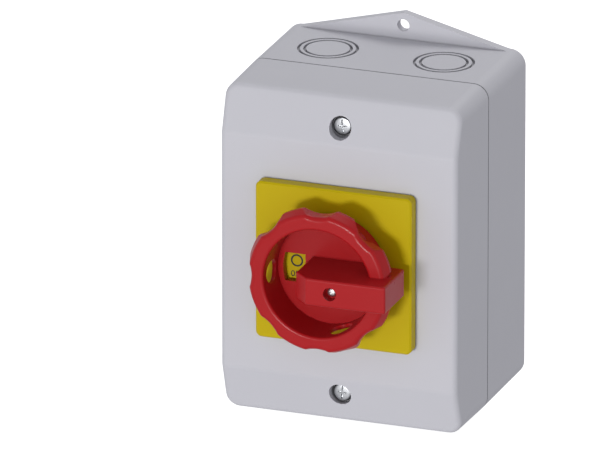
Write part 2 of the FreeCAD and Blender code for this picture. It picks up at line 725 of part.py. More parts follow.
# ---------------------------------------------------------------- handle
def handle_grip():
    """The scalloped ring with its cross bar and nose, its dish and its padlock holes."""
    body = new_body("handle_grip")
    profile = sketch_on(body, "ring_profile", "XZ_Plane")
    polygon(profile, [
        ("0", "dish_back"),
        ("skirt_radius - 2", "dish_back"),
        ("skirt_radius - 2", "skirt_back"),
        ("skirt_radius", "skirt_back"),
        ("skirt_radius", "ring_back"),
        ("ring_radius", "ring_back"),
        ("ring_radius", "ring_back + ring_land"),
        ("ring_face", "ring_front"),
        ("ring_inner", "ring_front"),
        ("dish_radius", "dish_front"),
        ("0", "dish_front"),
    ])
    turned = body.newObject("PartDesign::Revolution", "ring_turned")
    turned.Profile = profile
    turned.ReferenceAxis = (profile, ["V_Axis"])
    turned.Angle = 360
    doc.recompute()
    step = 360 / value_of("scallop_count")
    centre = "scallop_floor + scallop_radius"
    for index in range(int(value_of("scallop_count"))):
        bearing = f"{index * step} deg"
        at = (f"({centre}) * cos({bearing})", f"({centre}) * sin({bearing})", "ring_back - 1")
        length = "ring_front - ring_back + 2"
        cut_rod(body, f"scallop_{index}", at, "scallop_radius", length)
    front = value_of("ring_front")
    back = value_of("ring_back")
    tip = value_of("ring_radius")

    def is_scallop_corner(edge):
        rims = [math.hypot(vertex.Point.x, vertex.Point.y) for vertex in edge.Vertexes]
        return edge.BoundBox.ZLength > 1 and min(rims) > tip - 3

    def is_outer_rim(edge, height):
        first = edge.Vertexes[0].Point
        return at_height(edge, height) and math.hypot(first.x, first.y) > tip - 3

    dress(body, "Fillet", "scallop_rounds", "scallop_round", is_scallop_corner)
    dress(body, "Fillet", "back_rounds", "back_round", lambda edge: is_outer_rim(edge, back))
    dress(body, "Fillet", "front_rounds", "front_round", lambda edge: is_outer_rim(edge, front))
    inner = value_of("ring_inner")
    dress(body, "Fillet", "inner_rim_round", "inner_round",
          lambda edge: at_height(edge, front) and abs(edge.BoundBox.XMax - inner) < 0.5)
    bar = sketch_on(body, "bar_profile", "XZ_Plane")
    polygon(bar, [
        ("-bar_left", "dish_front - 1"),
        ("-bar_left", "bar_front - bar_chamfer"),
        ("-bar_left + bar_chamfer", "bar_front"),
        ("bar_right", "bar_front"),
        ("bar_right", "nose_back"),
        ("skirt_radius - 1", "nose_back"),
        ("skirt_radius - 1", "dish_front - 1"),
    ])
    pad(body, "bar_block", bar, "bar_half * 2", middle=True)

    def is_bar_edge(edge):
        box = edge.BoundBox
        flank = abs(abs(box.Center.y) - value_of("bar_half")) < 1e-3 and box.YLength < 1e-3
        flank = flank and (box.ZMax > front + 1 or box.Center.x > tip + 1)
        across = box.XLength < 1e-3 and box.ZLength < 1e-3 and box.ZMax > front
        outer = box.XLength < 1e-3 and box.ZLength < 1e-3 and box.Center.x > tip
        return flank or across or outer

    dress(body, "Fillet", "bar_rounds", "bar_edge", is_bar_edge)
    low = ("-stem_left - stem_play", "-stem_half - stem_play", "80")
    high = ("stem_right + stem_play", "stem_half + stem_play", "stem_high + stem_play")
    cut_block(body, "stem_pocket", low, high)
    cut_rod(body, "key_recess", ("key_at", "0", "key_seat"), "key_recess", "10")
    cut_rod(body, "key_way", ("key_at", "0", "100"), "key_shank + 0.1", "20")
    window = sketch_on(body, "window_outline", "XY_Plane", "dish_back - 1")
    half = value_of("window_half")
    near = value_of("window_near")
    radius = value_of("window_far")
    sweep = math.asin(half / radius)
    far = radius * math.cos(sweep)
    outer = Part.Circle(Vector(0, 0, 0), Vector(0, 0, 1), radius)
    window.addGeometry(Part.ArcOfCircle(outer, math.pi - sweep, math.pi + sweep), False)
    points = [Vector(-far, -half, 0), Vector(-near, -half, 0), Vector(-near, half, 0)]
    points.append(Vector(-far, half, 0))
    for start, end in zip(points, points[1:]):
        window.addGeometry(Part.LineSegment(start, end), False)
    for this, after in ((0, 1), (1, 2), (2, 3)):
        window.addConstraint(Sketcher.Constraint("Coincident", this, 2, after, 1))
    window.addConstraint(Sketcher.Constraint("Coincident", 3, 2, 0, 1))
    window.addConstraint(Sketcher.Constraint("Coincident", 0, 3, -1, 1))
    window.addConstraint(Sketcher.Constraint("Horizontal", 1))
    window.addConstraint(Sketcher.Constraint("Horizontal", 3))
    index = window.addConstraint(Sketcher.Constraint("Radius", 0, radius))
    window.setExpression(f"Constraints[{index}]", sheet("window_far"))
    pin_point(window, 2, 1, ("-window_near", "-window_half"))
    pin_point(window, 2, 2, ("-window_near", "window_half"))
    pocket(body, "window", window, "dish_front - dish_back + 3", away=True)
    for bearing in PADLOCK_BEARINGS:
        turn = Rotation(Vector(0, 0, 1), bearing) * AXIS_TURN["x"]
        # a bore through the skirt, and a wider notch in the back of the band beyond it
        for name, start, radius in (("hole", "padlock_start", "padlock_radius"),
                                    ("notch", "skirt_radius", "padlock_radius + padlock_relief")):
            at = (f"{start} * cos({bearing} deg)", f"{start} * sin({bearing} deg)", "padlock_up")
            reach = f"skirt_radius - {start} + 0.5" if name == "hole" else "ring_radius - skirt_radius + 2"
            way = cut_rod(body, f"padlock_{name}_{bearing}", at, radius, reach)
            way.Placement.Rotation = turn
    finish(body, "handle_grip")


def handle_drive():
    """Hub, its ring, the key screw, and the square shaft with its driver and pin."""
    body = new_body("drive_hub")
    rod(body, "hub_front", ("0", "0", "groove_high"), "hub_radius", "dish_back - groove_high")
    rod(body, "hub_neck", ("0", "0", "hub_low + 1"), "groove_radius", "groove_high - hub_low - 0.5")
    rod(body, "hub_tail", ("0", "0", "hub_low"), "hub_radius", "groove_low - hub_low")
    low = ("-stem_left", "-stem_half", "dish_back - 1")
    block(body, "hub_stem", low, ("stem_right", "stem_half", "stem_high"))
    half = "driver_half + 0.05"
    cut_block(body, "hub_socket", (f"-({half})", f"-({half})", "70"), (half, half, "88"))
    cut_rod(body, "key_pilot", ("key_at", "0", "90.5"), "key_shank", "20")
    finish(body, "drive_hub")

    ring = new_body("hub_retaining_ring")
    rod(ring, "ring_disc", ("0", "0", "groove_low + 0.05"), "clip_radius", "clip_thick")
    cut_rod(ring, "ring_bore", ("0", "0", "80"), "groove_radius + 0.05", "4")
    cut_block(ring, "ring_mouth", ("0", "-clip_mouth / 2", "80"), ("20", "clip_mouth / 2", "84"))
    finish(ring, "hub_retaining_ring")

    at = ("key_at", "0", "key_seat")
    key = screw("key_screw", at, "key_head", "key_head_tall", "key_shank", "key_long")
    finish(key, "handle_screw")

    driver = new_body("shaft_driver")
    side = "driver_half"
    high = (side, side, "shaft_high")
    block(driver, "driver_block", (f"-{side}", f"-{side}", "driver_low"), high)
    half = "shaft_half + 0.02"
    cut_block(driver, "driver_bore", (f"-({half})", f"-({half})", "70"), (half, half, "90"))
    way = "driver_pin + 0.02"
    cut_rod(driver, "driver_pin_way", ("-10", "0", "driver_pin_up"), way, "20", axis="x")
    finish(driver, "shaft_driver")
    pin = new_body("driver_pin")
    at = ("-driver_half", "0", "driver_pin_up")
    rod(pin, "driver_pin_rod", at, "driver_pin", "driver_half * 2", axis="x")
    finish(pin, "driver_pin")

    shaft = new_body("drive_shaft")
    side = "shaft_half"
    block(shaft, "shaft_bar", (f"-{side}", f"-{side}", "shaft_low"), (side, side, "shaft_high"))
    cut_rod(shaft, "shaft_pin_way", ("-10", "0", "driver_pin_up"), way, "20", axis="x")
    finish(shaft, "drive_shaft")


def switch_rotor():
    """The cam rotor: helical slots drive the carrier, and a star and a lug set its two stops."""
    body = new_body("rotor_blank")
    rod(body, "tube", ("0", "0", "rotor_low"), "rotor_tube", "star_low - rotor_low + 0.5")
    rod(body, "star", ("0", "0", "star_low"), "star_radius", "star_high - star_low")
    rod(body, "stop_disc", ("0", "0", "star_high - 0.5"), "stop_disc", "stop_high - star_high + 0.5")
    rod(body, "hub", ("0", "0", "stop_high - 0.5"), "rotor_hub", "rotor_high - stop_high + 0.5")
    low = ("0", "-lug_side", "star_high + 0.1")
    lug = block(body, "stop_lug", low, ("lug_reach", "lug_side", "stop_high - 0.1"))
    bearing = "lug_bearing * 1 deg"
    place(lug, (f"lug_side * sin({bearing})", f"-lug_side * cos({bearing})", "star_high + 0.1"))
    lug.Placement.Rotation = Rotation(Vector(0, 0, 1), value_of("lug_bearing"))
    cut_rod(body, "bore", ("0", "0", "rotor_low - 1"), "rotor_bore", "star_low - rotor_low + 1")
    half = "shaft_half + 0.03"
    cut_block(body, "socket", (f"-({half})", f"-({half})", "shaft_low - 0.5"), (half, half, "80"))
    for index in range(4):
        bearing = f"{index * 90} deg"
        at = (f"detent_at * cos({bearing})", f"detent_at * sin({bearing})", "star_low - 1")
        cut_rod(body, f"detent_{index}", at, "bump_radius + 0.3", "star_high - star_low + 1")
    doc.recompute()
    # each slot runs a quarter turn and the pin's own width past both of its ends
    pitch = value_of("stroke") * 4
    spare = value_of("slot_spare")
    width = value_of("pin_radius + slot_play")
    low = value_of("pin_up - stroke") - pitch * spare / 360
    height = pitch * (90 + 2 * spare) / 360
    inside = value_of("rotor_bore") - 0.8
    outside = value_of("rotor_tube") + 0.6
    corners = [Vector(inside, 0, -width), Vector(outside, 0, -width)]
    corners += [Vector(outside, 0, width), Vector(inside, 0, width)]
    profile = Part.makePolygon(corners + corners[:1])
    slot = helix_solid(profile, pitch, height, (inside + outside) / 2, True)
    shape = body.Shape.copy()
    for start in (90 + spare, 270 + spare):
        cutter = slot.copy()
        cutter.Placement = Placement(Vector(0, 0, low), Rotation(Vector(0, 0, 1), start))
        before = shape.Volume
        shape = shape.cut(cutter)
        if shape.Volume > before - 10:
            raise ValueError("a helical slot cuts nothing")
    rotor = doc.addObject("Part::Feature", "rotor_slotted")
    rotor.Shape = shape
    finish(rotor, "switch_rotor")


# ---------------------------------------------------------------- contact carrier
def contact_carrier():
    """The cross bar that the rotor lifts, with a window and a sprung bridge for each pole."""
    body = new_body("contact_carrier")
    strip_top = "pole_floor + strip_thick"
    bridge_low = f"({strip_top} + tip_thick * 2 + stroke + contact_play)"
    low = ("-carrier_reach", "-carrier_half", f"{bridge_low} + bridge_room")
    block(body, "cross_bar", low, ("carrier_reach", "carrier_half", "carrier_high"))
    stem = ("0", "0", "carrier_high - 0.5")
    rod(body, "stem", stem, "rotor_bore - 0.3", "carrier_stem - carrier_high + 0.5")
    for index, pole in enumerate(POLES):
        low = (f"{pole} - pole_frame", "-carrier_half + 1", f"{bridge_low} - 1.6")
        high = (f"{pole} + pole_frame", "carrier_half - 1", f"{bridge_low} + bridge_room + 0.1")
        block(body, f"pole_block_{index}", low, high)
        low = (f"{pole} - bridge_half - 0.2", "-carrier_half - 1", bridge_low)
        high = (f"{pole} + bridge_half + 0.2", "carrier_half + 1", f"{bridge_low} + bridge_room")
        cut_block(body, f"pole_window_{index}", low, high)
    cut_rod(body, "pin_way", ("-20", "0", "pin_up"), "pin_radius + 0.02", "40", axis="x")
    finish(body, "contact_carrier")
    reach = "(rotor_tube - 0.4)"
    pin = new_body("follower_pin")
    rod(pin, "follower_rod", (f"-{reach}", "0", "pin_up"), "pin_radius", f"2 * {reach}", axis="x")
    finish(pin, "follower_pin")

    bridges = []
    tips = []
    springs = []
    for index, pole in enumerate(POLES):
        low = (f"{pole} - bridge_half", "-bridge_reach", bridge_low)
        high = (f"{pole} + bridge_half", "bridge_reach", f"{bridge_low} + strip_thick")
        bridges.append(block(None, f"bridge_{index}", low, high))
        for side in BOTH:
            at = (pole, f"{side}tip_at", f"{bridge_low} - tip_thick")
            name = f"moving_tip_{index}" + ("_low" if side else "_high")
            tips.append(rod(None, name, at, "tip_radius", "tip_thick"))
        springs.append(contact_spring(f"spring_{index}", pole, bridge_low))
    group("contact_bridges", bridges)
    group("moving_contact_tips", tips)
    group("contact_springs", springs)


def contact_spring(name, pole, bridge_low):
    """A coil spring between a bridge and the carrier's bar."""
    wire = 0.4
    coil = 2.5
    pitch = 1.4
    play = 0.05
    low = value_of(f"{bridge_low} + strip_thick")
    room = value_of("bridge_room - strip_thick")
    profile = Part.Wire(Part.Circle(Vector(coil, 0, 0), Vector(0, 1, 0), wire).toShape())
    solid = helix_solid(profile, pitch, room - 2 * (wire + play), coil, False)
    spring = doc.addObject("Part::Feature", name)
    spring.Shape = solid
    spring.Placement = Placement(Vector(value_of(pole), 0, low + wire + play), Rotation())
    return spring


# ---------------------------------------------------------------- switch block
def switch_base():
    """The rear half of the switch: three pole chambers and two ears for its screws."""
    body = new_body("switch_base")
    block(body, "base_block", ("-block_half", "-base_half", "block_low"),
          ("block_half", "base_half", "base_high"))
    low = ("-ear_half", "-ear_at - ear_end", "block_low")
    block(body, "ears", low, ("ear_half", "ear_at + ear_end", "block_low + ear_thick"))
    cut_block(body, "underside", ("-block_half + 7", "-base_half + 2.5", "block_low - 1"),
              ("block_half - 7", "base_half - 2.5", "pole_floor - 3"))
    for index, pole in enumerate(POLES):
        low = (f"{pole} - pole_half", "-base_half - 1", "pole_floor")
        high = (f"{pole} + pole_half", "base_half + 1", "base_high + 1")
        cut_block(body, f"chamber_{index}", low, high)
    low = ("-carrier_reach - 0.5", "-carrier_half - 1", "base_high - 3.5")
    cut_block(body, "bar_way", low, ("carrier_reach + 0.5", "carrier_half + 1", "base_high + 1"))
    for side in BOTH:
        tag = "low" if side else "high"
        cut_rod(body, f"ear_hole_{tag}", ("0", f"{side}ear_at", "block_low - 1"), "ear_way", "10")
        for across in BOTH:
            at = (f"{across}block_screw_x", f"{side}block_screw_y", "block_low + 4")
            cut_rod(body, f"block_pilot_{tag}{across and '_left'}", at, "block_shank", "30")
    finish(body, "switch_base")


def switch_housing():
    """The front half of the switch, which guides the carrier and holds the rotor."""
    body = new_body("switch_housing")
    block(body, "housing_block", ("-block_half", "-housing_half", "base_high"),
          ("block_half", "housing_half", "housing_high"))
    cut_rod(body, "rotor_room", ("0", "0", "rotor_room_low"), "rotor_room", "40")
    low = ("-carrier_reach - 0.5", "-carrier_half - 1", "base_high - 1")
    cut_block(body, "bar_room", low, ("carrier_reach + 0.5", "carrier_half + 1", "39"))
    for index, pole in enumerate(POLES):
        low = (f"{pole} - pole_half", "-arc_half", "base_high - 1")
        high = (f"{pole} + pole_half", "arc_half", "base_high + 2.5")
        cut_block(body, f"arc_room_{index}", low, high)
    for side in BOTH:
        tag = "left" if side else "right"
        centre = f"{side}leaf_at"
        low = (f"{centre} - leaf_half - 0.2", "-leaf_reach - 0.3", "leaf_low - 0.3")
        high = (f"{centre} + leaf_half + 0.2", "leaf_reach + 0.3", "housing_high + 1")
        cut_block(body, f"spring_slot_{tag}", low, high)
        for across in BOTH:
            at = (f"{side}block_screw_x", f"{across}block_screw_y", "20")
            cut_rod(body, f"block_way_{tag}{across and '_low'}", at, "block_way", "60")
    finish(body, "switch_housing")


def switch_front():
    """Cap, thrust washer, long screws, stop pins, detent springs and terminal covers."""
    body = new_body("mechanism_cap")
    block(body, "cap_plate", ("-block_half", "-housing_half", "housing_high"),
          ("block_half", "housing_half", "cap_high"))
    cut_rod(body, "rotor_bearing", ("0", "0", "50"), "rotor_hub + hub_play", "30")
    screws = []
    for side in BOTH:
        for across in BOTH:
            tag = ("low" if side else "high") + ("_left" if across else "_right")
            centre = (f"{across}block_screw_x", f"{side}block_screw_y")
            cut_rod(body, f"cap_way_{tag}", (*centre, "50"), "block_way", "30")
            screws.append(screw(f"block_screw_{tag}", (*centre, "cap_high"), "block_head", "1.8",
                                "block_shank", "cap_high - block_low - 5"))
    finish(body, "mechanism_cap")
    group("housing_screws", screws)
    at = ("0", "0", "stop_high + 0.15")
    washer = tube("washer_ring", at, "stop_disc", "rotor_hub + 0.3", "washer_thick")
    finish(washer, "thrust_washer")
    pins = []
    for tag, bearing in (("off", "lug_bearing + stop_spare"), ("on", "lug_bearing - 90 - stop_spare")):
        angle = f"(({bearing}) * 1 deg)"
        at = (f"stop_radius * cos{angle}", f"stop_radius * sin{angle}", "rotor_room_low")
        tall = "housing_high - rotor_room_low"
        pins.append(rod(None, f"stop_pin_{tag}", at, "pin_radius", tall))
    group("stop_pins", pins)
    leaves = []
    for side in BOTH:
        tag = "left" if side else "right"
        low = (f"{side}leaf_at - leaf_half", "-leaf_reach", "leaf_low")
        high = (f"{side}leaf_at + leaf_half", "leaf_reach", "leaf_low + leaf_tall")
        strip = block(None, f"leaf_{tag}", low, high)
        at = (f"{side}detent_at", "0", "leaf_low")
        bump = rod(None, f"bump_{tag}", at, "bump_radius", "leaf_tall")
        leaf = doc.addObject("Part::MultiFuse", f"detent_leaf_{tag}")
        leaf.Shapes = [strip, bump]
        leaves.append(leaf)
    group("detent_springs", leaves)
    covers = []
    for side in BOTH:
        tag = "low" if side else "high"
        near, far = ("-base_half", "-housing_half") if side else ("housing_half", "base_half")
        slab = block(None, f"cover_slab_{tag}", ("-block_half", near, "base_high"),
                     ("block_half", far, "base_high + slab_thick"))
        ways = []
        for index, pole in enumerate(POLES):
            at = (pole, f"{side}terminal_at", "base_high - 1")
            ways.append(rod(None, f"driver_way_{tag}_{index}", at, "tool_way", "5"))
        holes = doc.addObject("Part::MultiFuse", f"driver_ways_{tag}")
        holes.Shapes = ways
        cover = doc.addObject("Part::Cut", f"terminal_cover_{tag}")
        cover.Base = slab
        cover.Tool = holes
        covers.append(cover)
    group("terminal_covers", covers)
    ears = []
    for tag, side in zip(("high", "low"), BOTH):
        at = ("0", f"{side}ear_at", "block_low + ear_thick")
        ears.append(screw(f"ear_screw_{tag}", at, "3.6", "2.2", "ear_pilot", "7.5"))
    group("switch_mounting_screws", ears)


def pole_contacts():
    """Fixed contacts with their tips, cage clamps and clamp screws, at both ends of each pole."""
    strips = {"": [], "-": []}
    tips = []
    clamps = []
    screws = []
    strip_top = "pole_floor + strip_thick"
    for side in BOTH:
        for index, pole in enumerate(POLES):
            name = f"{'low' if side else 'high'}_{index}"
            near, far = ("-strip_far", "-strip_near") if side else ("strip_near", "strip_far")
            low = (f"{pole} - strip_half", near, "pole_floor")
            strip = block(None, "strip_" + name, low, (f"{pole} + strip_half", far, strip_top))
            strips[side].append(strip)
            at = (pole, f"{side}tip_at", strip_top)
            tips.append(rod(None, "fixed_tip_" + name, at, "tip_radius", "tip_thick"))
            centre = f"({side}terminal_at)"
            low = (f"{pole} - cage_half", f"{centre} - cage_side", strip_top)
            high = (f"{pole} + cage_half", f"{centre} + cage_side", "cage_high")
            cage = block(None, "cage_" + name, low, high)
            half = "cage_half - cage_wall"
            low = (f"{pole} - ({half})", f"{centre} - cage_side - 1.5", f"{strip_top} + cage_wall")
            high = (f"{pole} + {half}", f"{centre} + cage_side + 1.5", "cage_high - 2")
            room = block(None, "cage_room_" + name, low, high)
            at = (pole, centre, "cage_high - 3")
            thread = rod(None, "cage_thread_" + name, at, "clamp_shank", "5")
            inside = doc.addObject("Part::MultiFuse", "cage_inside_" + name)
            inside.Shapes = [room, thread]
            clamp = doc.addObject("Part::Cut", "clamp_" + name)
            clamp.Base = cage
            clamp.Tool = inside
            clamps.append(clamp)
            at = (pole, centre, "cage_high + 0.2")
            screws.append(screw("clamp_screw_" + name, at, "clamp_head", "2", "clamp_shank", "6"))
    group("line_contacts", strips[""])
    group("load_contacts", strips["-"])
    group("fixed_contact_tips", tips)
    group("terminal_clamps", clamps)
    group("terminal_screws", screws)


def rail_terminal(label, side):
    """An insulated foot with a brass bar for two conductors; returns the screws that it needs."""
    centre = f"({side}rail_terminal_x)"
    foot = new_body(label + "_foot")
    bar_low = "(rail_terminal_high - rail_thick)"
    block(foot, label + "_foot_block", (f"{centre} - foot_side", "-foot_reach", "floor"),
          (f"{centre} + foot_side", "foot_reach", bar_low))
    cut_rod(foot, label + "_foot_recess", (centre, "0", "0"), "foot_boss + 0.1", "9.05")
    cut_rod(foot, label + "_foot_way", (centre, "0", "0"), "block_way", "30")
    finish(foot, label + "_foot")
    bar = new_body(label + "_bar")
    block(bar, label + "_bar_block", (f"{centre} - rail_half", "-rail_reach", bar_low),
          (f"{centre} + rail_half", "rail_reach", "rail_terminal_high"))
    cut_rod(bar, label + "_fixing_way", (centre, "0", "0"), "block_way", "60")
    cut_rod(bar, label + "_fixing_sink", (centre, "0", "rail_terminal_high - 3"), "3.2", "10")
    screws = []
    for end in BOTH:
        tag = "low" if end else "high"
        along = f"{end}rail_screw_y"
        wire_way = (f"{centre} - 10", along, "rail_terminal_high - 5")
        cut_rod(bar, f"{label}_wire_way_{tag}", wire_way, "wire_way", "20", axis="x")
        at = (centre, along, "rail_terminal_high - 5")
        cut_rod(bar, f"{label}_thread_{tag}", at, "rail_shank + 0.05", "10")
        at = (centre, along, "rail_terminal_high + 0.2")
        screws.append(screw(f"{label}_screw_{tag}", at, "2.8", "1.8", "rail_shank", "4"))
    finish(bar, label + "_bar")
    at = (centre, "0", "rail_terminal_high - 3")
    fixing = screw(f"{label}_fixing", at, "2.6", "2", "foot_pilot", "16")
    return screws, fixing


def rail_terminals():
    earth_screws, earth_fixing = rail_terminal("earth_terminal", "")
    neutral_screws, neutral_fixing = rail_terminal("neutral_terminal", "-")
    group("terminal_bar_screws", earth_screws + neutral_screws)
    group("terminal_foot_screws", [earth_fixing, neutral_fixing])


def check_everything():
    """Stop before anything is written if an object failed or a sub-part has no sound shape."""
    doc.recompute()
    for thing in doc.Objects:
        if any(word in thing.State for word in ("Invalid", "Error")):
            raise ValueError(f"{thing.Name} failed: {thing.State}")
    for thing in sub_parts:
        if thing.Shape.isNull() or not thing.Shape.isValid() or not thing.Shape.Solids:
            raise ValueError(f"{thing.Label} has no sound shape")


rear_box()
front_cover()
cover_gasket()
cover_fixings()
escutcheon_plate()
escutcheon_fixings()
handle_grip()
handle_drive()
switch_rotor()
contact_carrier()
switch_base()
switch_housing()
switch_front()
pole_contacts()
rail_terminals()
check_everything()

os.makedirs("parts", exist_ok=True)
for sub_part in sub_parts:
    sub_part.Shape.exportStep(f"parts/{sub_part.Label}.step")
    print(sub_part.Label, len(sub_part.Shape.Solids), round(sub_part.Shape.Volume))
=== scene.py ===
"""Rotary isolator switch: looks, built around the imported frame. All lengths are in metres."""
import json
import math

import bmesh
import bpy
from mathutils import Matrix, Vector


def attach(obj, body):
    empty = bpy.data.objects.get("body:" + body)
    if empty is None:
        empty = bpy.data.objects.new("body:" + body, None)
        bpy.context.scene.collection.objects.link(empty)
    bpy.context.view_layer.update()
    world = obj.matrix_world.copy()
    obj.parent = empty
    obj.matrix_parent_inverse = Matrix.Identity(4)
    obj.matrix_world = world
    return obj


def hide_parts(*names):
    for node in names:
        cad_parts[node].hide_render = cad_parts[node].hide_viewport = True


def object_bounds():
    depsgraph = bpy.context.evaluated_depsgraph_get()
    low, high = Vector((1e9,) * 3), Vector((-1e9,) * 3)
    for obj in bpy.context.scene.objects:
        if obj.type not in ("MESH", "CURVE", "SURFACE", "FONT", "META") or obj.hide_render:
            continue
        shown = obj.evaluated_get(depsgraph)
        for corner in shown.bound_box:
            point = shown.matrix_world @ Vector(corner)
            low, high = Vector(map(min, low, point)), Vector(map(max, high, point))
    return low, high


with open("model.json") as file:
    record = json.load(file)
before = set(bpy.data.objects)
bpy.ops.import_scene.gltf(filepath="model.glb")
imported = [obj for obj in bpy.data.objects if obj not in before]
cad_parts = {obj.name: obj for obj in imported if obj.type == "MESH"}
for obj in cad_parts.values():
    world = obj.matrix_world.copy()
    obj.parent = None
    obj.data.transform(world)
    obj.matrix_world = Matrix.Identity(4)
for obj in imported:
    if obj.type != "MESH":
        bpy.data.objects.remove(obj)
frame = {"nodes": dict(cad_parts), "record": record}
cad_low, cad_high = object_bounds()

MM = 0.001
NODES = frame["nodes"]
SLOT_OF = {part["node"]: part["material_slot"] for part in frame["record"]["subparts"]}


# ---------------------------------------------------------------- node helpers
class Tree:
    """A material's node tree with short calls for adding nodes and linking them."""

    def __init__(self, name):
        self.material = bpy.data.materials.new(name)
        self.material.use_nodes = True
        self.nodes = self.material.node_tree.nodes
        self.shader = self.nodes["Principled BSDF"]
        self.place = self.add("ShaderNodeTexCoord").outputs["Object"]

    def add(self, kind, **settings):
        node = self.nodes.new(kind)
        for key, value in settings.items():
            setattr(node, key, value)
        return node

    def link(self, source, target):
        self.material.node_tree.links.new(source, target)

    def noise(self, scale, detail=2.0, roughness=0.5, stretch=None):
        """Noise of so many cells to the metre, drawn out along an axis if stretch is given."""
        node = self.add("ShaderNodeTexNoise")
        node.inputs["Scale"].default_value = scale
        node.inputs["Detail"].default_value = detail
        node.inputs["Roughness"].default_value = roughness
        source = self.place
        if stretch:
            mapping = self.add("ShaderNodeMapping")
            mapping.inputs["Scale"].default_value = stretch
            self.link(source, mapping.inputs["Vector"])
            source = mapping.outputs["Vector"]
        self.link(source, node.inputs["Vector"])
        return node.outputs["Fac"]

    def blend(self, source, weight, base):
        """A weighted signal added to another one."""
        node = self.add("ShaderNodeMath", operation="MULTIPLY_ADD")
        node.inputs[1].default_value = weight
        self.link(source, node.inputs[0])
        self.link(base, node.inputs[2])
        return node.outputs[0]

    def spread(self, source, low, high, start=0.3, end=0.7):
        """Map a 0 to 1 signal between two values."""
        node = self.add("ShaderNodeMapRange")
        node.inputs["From Min"].default_value = start
        node.inputs["From Max"].default_value = end
        node.inputs["To Min"].default_value = low
        node.inputs["To Max"].default_value = high
        self.link(source, node.inputs["Value"])
        return node.outputs["Result"]

    def tint(self, source, dark, light, start=0.3, end=0.7):
        """Map a 0 to 1 signal between two colours."""
        ramp = self.add("ShaderNodeValToRGB")
        ramp.color_ramp.elements[0].position = start
        ramp.color_ramp.elements[0].color = (*dark, 1)
        ramp.color_ramp.elements[1].position = end
        ramp.color_ramp.elements[1].color = (*light, 1)
        self.link(source, ramp.inputs["Fac"])
        return ramp.outputs["Color"]

    def bump(self, source, depth, after=None):
        """Surface relief of so many metres, on top of an earlier relief if one is given."""
        node = self.add("ShaderNodeBump")
        node.inputs["Strength"].default_value = 1.0
        node.inputs["Distance"].default_value = depth
        self.link(source, node.inputs["Height"])
        if after:
            self.link(after, node.inputs["Normal"])
        return node.outputs["Normal"]


def shade(colour, factor):
    return tuple(min(1.0, channel * factor) for channel in colour)


# noise scales, in cells to the metre
FLOW_CELLS = 28
WAVE_CELLS = 60
PATCH_CELLS = 90
CLOUD_CELLS = 420
DUST_CELLS = 700
SCUFF_CELLS = 900
MOULD_CELLS = 2600
SCRATCH_CELLS = 3500
WEAR_CELLS = 5200


def paint_crevice_shade(tree, colours, reach):
    """Painted shade: darken a colour by ambient occlusion in grooves and corners narrower than the reach, in
    metres.
    """
    nook = tree.add("ShaderNodeAmbientOcclusion", samples=8)
    nook.inputs["Distance"].default_value = reach
    darkest, unshaded = 0.25, 1.0
    # painted shade: the colour falls to a quarter where the ambient occlusion is deepest
    painted_shade = tree.spread(nook.outputs["AO"], darkest, unshaded, 0.1, 0.72)
    mixed = tree.add("ShaderNodeVectorMath", operation="SCALE")
    tree.link(colours, mixed.inputs[0])
    tree.link(painted_shade, mixed.inputs["Scale"])
    return mixed.outputs["Vector"]


def moulded(name, colour, rough, depth=6e-6, mottle=0.04, shine=0.3, shade_reach=None):
    """Injection-moulded plastic: a fine eroded grain, faint flow marks and uneven gloss; if a reach is given,
    also painted shade in grooves and corners narrower than it.
    """
    tree = Tree(name)
    flow = tree.noise(FLOW_CELLS, detail=3.0, roughness=0.55)
    speck = tree.noise(MOULD_CELLS * 0.6, detail=1.0)
    mixed = tree.blend(speck, 0.35, flow)
    colours = tree.tint(mixed, shade(colour, 1 - mottle), shade(colour, 1 + mottle), 0.4, 0.95)
    # painted shade: ambient occlusion darkens the colour in grooves, seams and screw wells
    if shade_reach:
        colours = paint_crevice_shade(tree, colours, shade_reach)
    tree.link(colours, tree.shader.inputs["Base Color"])
    patches = tree.noise(PATCH_CELLS, detail=4.0, roughness=0.6)
    scuffs = tree.noise(SCUFF_CELLS, detail=2.0, stretch=(1, 1, 0.06))
    dull = tree.blend(scuffs, 0.3, patches)
    gloss = tree.spread(dull, rough - 0.03, rough + 0.03, 0.4, 0.9)
    tree.link(gloss, tree.shader.inputs["Roughness"])
    fine = tree.noise(MOULD_CELLS, detail=3.0, roughness=0.6)
    waves = tree.noise(WAVE_CELLS, detail=1.0)
    relief = tree.bump(waves, depth * 6)
    tree.link(tree.bump(fine, depth, relief), tree.shader.inputs["Normal"])
    tree.shader.inputs["IOR"].default_value = 1.5
    tree.shader.inputs["Specular IOR Level"].default_value = shine
    return tree.material


def metal(name, colour, rough, brushed=(1, 1, 1), depth=4e-6):
    """Plated or drawn metal with fine scratches and a slightly clouded finish."""
    tree = Tree(name)
    cloud = tree.noise(CLOUD_CELLS, detail=4.0, roughness=0.6)
    colours = tree.tint(cloud, shade(colour, 0.82), shade(colour, 1.06))
    tree.link(colours, tree.shader.inputs["Base Color"])
    scratches = tree.noise(SCRATCH_CELLS, detail=2.0, stretch=brushed)
    gloss = tree.spread(scratches, rough - 0.08, rough + 0.1)
    tree.link(gloss, tree.shader.inputs["Roughness"])
    tree.link(tree.bump(scratches, depth), tree.shader.inputs["Normal"])
    tree.shader.inputs["Metallic"].default_value = 1.0
    return tree.material


def rubber(name, colour):
    """Soft matt rubber with a film of dust."""
    tree = Tree(name)
    dust = tree.noise(DUST_CELLS, detail=5.0, roughness=0.7)
    colours = tree.tint(dust, shade(colour, 0.8), shade(colour, 1.5))
    tree.link(colours, tree.shader.inputs["Base Color"])
    tree.link(tree.bump(dust, 1.2e-5), tree.shader.inputs["Normal"])
    tree.shader.inputs["Roughness"].default_value = 0.75
    return tree.material


